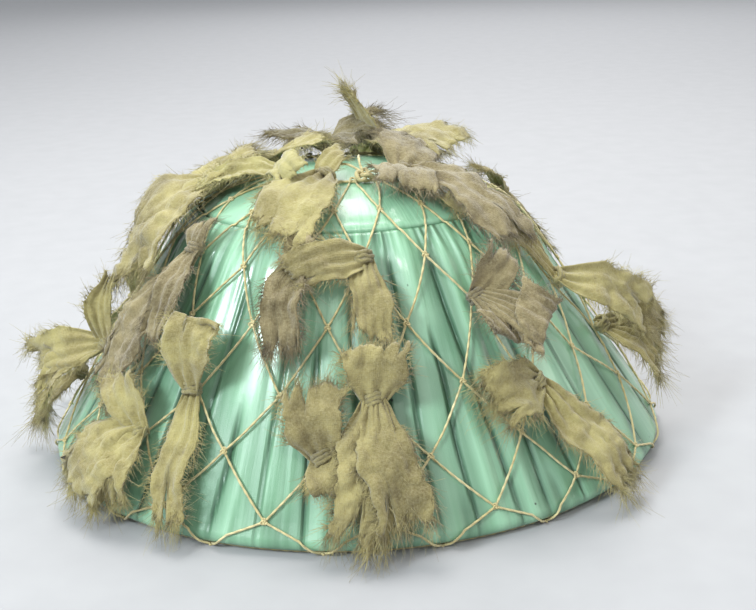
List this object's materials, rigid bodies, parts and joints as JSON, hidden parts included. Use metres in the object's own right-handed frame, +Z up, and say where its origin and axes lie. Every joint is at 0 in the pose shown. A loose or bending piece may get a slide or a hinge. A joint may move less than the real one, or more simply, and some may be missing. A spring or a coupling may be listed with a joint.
{
  "type": "pith helmet",
  "caption": "Wide pith helmet in a gathered glossy cover, under a knotted cord net with torn cloth rags tied to it, hollow underneath.",
  "frame": {"origin": "on the surface it rests on, under the middle of the helmet", "axes": "+X along the helmet's length, +Y across it, away from the side that shows, +Z up"},
  "size_m": [0.3719, 0.3377, 0.2109],
  "materials": {
    "pith": "dry plant pith, pale brown, matt",
    "green_cover": "glossy green waterproof cloth, gathered into fine folds",
    "net_cord": "cream twisted cotton cord",
    "rag_cloth": "olive and brown coarse cotton, torn and frayed"
  },
  "bodies": {
    "root": {"helmet_body": "pith", "cover_crown": "green_cover", "cover_side": "green_cover", "cord_net": "net_cord", "rim_cord": "net_cord", "crown_cord": "net_cord", "crown_knot": "net_cord", "rag_spike": "rag_cloth", "rag_crown_fringe": "rag_cloth", "rag_crown_right": "rag_cloth", "rag_crown_left": "rag_cloth", "rag_crown_ribbon": "rag_cloth", "rag_crown_strands": "rag_cloth", "rag_front_upper": "rag_cloth", "rag_front_left": "rag_cloth", "rag_front_centre": "rag_cloth", "rag_front_lower": "rag_cloth", "rag_right_bow": "rag_cloth", "rag_right_lower": "rag_cloth", "rag_right_edge": "rag_cloth", "rag_right_tuft": "rag_cloth", "rag_left_strip": "rag_cloth", "rag_left_long": "rag_cloth", "rag_left_skirt": "rag_cloth", "rag_left_leaf": "rag_cloth", "rag_left_end": "rag_cloth", "rag_left_shoulder": "rag_cloth", "rag_back_a": "rag_cloth", "rag_back_b": "rag_cloth", "rag_back_c": "rag_cloth", "rag_back_d": "rag_cloth", "rag_back_e": "rag_cloth", "rag_back_f": "rag_cloth"}
  },
  "joints": []
}
